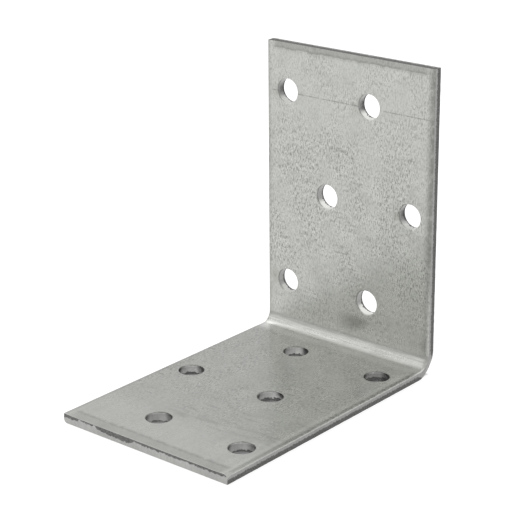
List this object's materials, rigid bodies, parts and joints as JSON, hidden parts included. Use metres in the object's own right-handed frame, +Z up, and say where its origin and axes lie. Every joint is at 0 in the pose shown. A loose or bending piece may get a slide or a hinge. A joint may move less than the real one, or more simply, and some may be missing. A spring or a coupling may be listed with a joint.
{
  "type": "angle bracket",
  "caption": "Equal-legged angle bracket folded from one perforated strip of galvanised steel sheet, with a staggered grid of nail holes in both legs.",
  "frame": {"origin": "centre of the footprint on the plane of the foot's outside face", "axes": "+Z up along the upright leg, +Y from the tip of the foot to the upright, +X across the width"},
  "size_m": [0.04, 0.0616, 0.0615],
  "materials": {
    "galvanised_sheet": "hot-dip galvanised, satin to dull, mottled, with bare sheared edges"
  },
  "bodies": {
    "root": {"bracket": "galvanised_sheet"}
  },
  "joints": []
}
